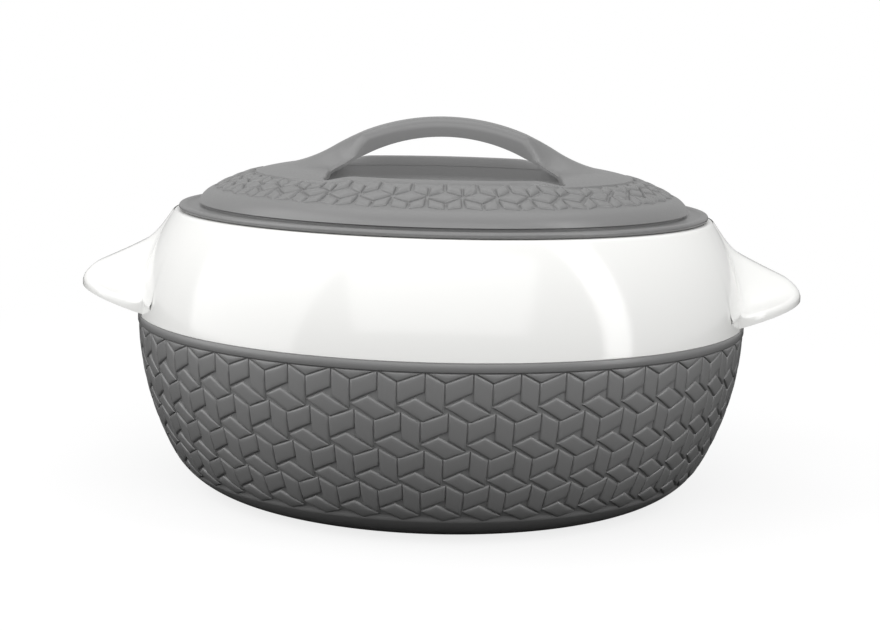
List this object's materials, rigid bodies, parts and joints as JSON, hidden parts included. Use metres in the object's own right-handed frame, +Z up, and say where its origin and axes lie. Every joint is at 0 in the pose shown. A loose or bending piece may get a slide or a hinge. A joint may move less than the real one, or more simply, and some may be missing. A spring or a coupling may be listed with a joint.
{
  "type": "insulated casserole",
  "caption": "Round insulated casserole with a weave-moulded grey base, white collar with ear handles and a grey lift-off lid with an arched handle.",
  "frame": {"origin": "centre of the foot ring on the ground", "axes": "+X right through the two ears, along the arched handle; +Y to the back; +Z up"},
  "size_m": [0.31, 0.26, 0.1582],
  "materials": {
    "grey_plastic": "semi-gloss moulded polypropylene",
    "white_plastic": "glossy moulded polypropylene",
    "stainless": "drawn and polished",
    "foam": "rigid cellular foam",
    "silicone": "matt silicone"
  },
  "bodies": {
    "pot": {"base_shell": "grey_plastic", "base_plug": "grey_plastic", "collar": "white_plastic", "mouth_ring": "white_plastic", "inner_bowl": "stainless", "pot_foam": "foam"},
    "lid": {"lid_cover": "grey_plastic", "lid_well": "grey_plastic", "lid_foam": "foam", "lid_liner": "white_plastic", "lid_plate": "stainless", "lid_seal": "silicone"}
  },
  "joints": [
    {"name": "lid_lift", "type": "slide", "parent": "pot", "child": "lid", "axis": [0, 0, 1], "range_m": [0, 0.15]}
  ]
}
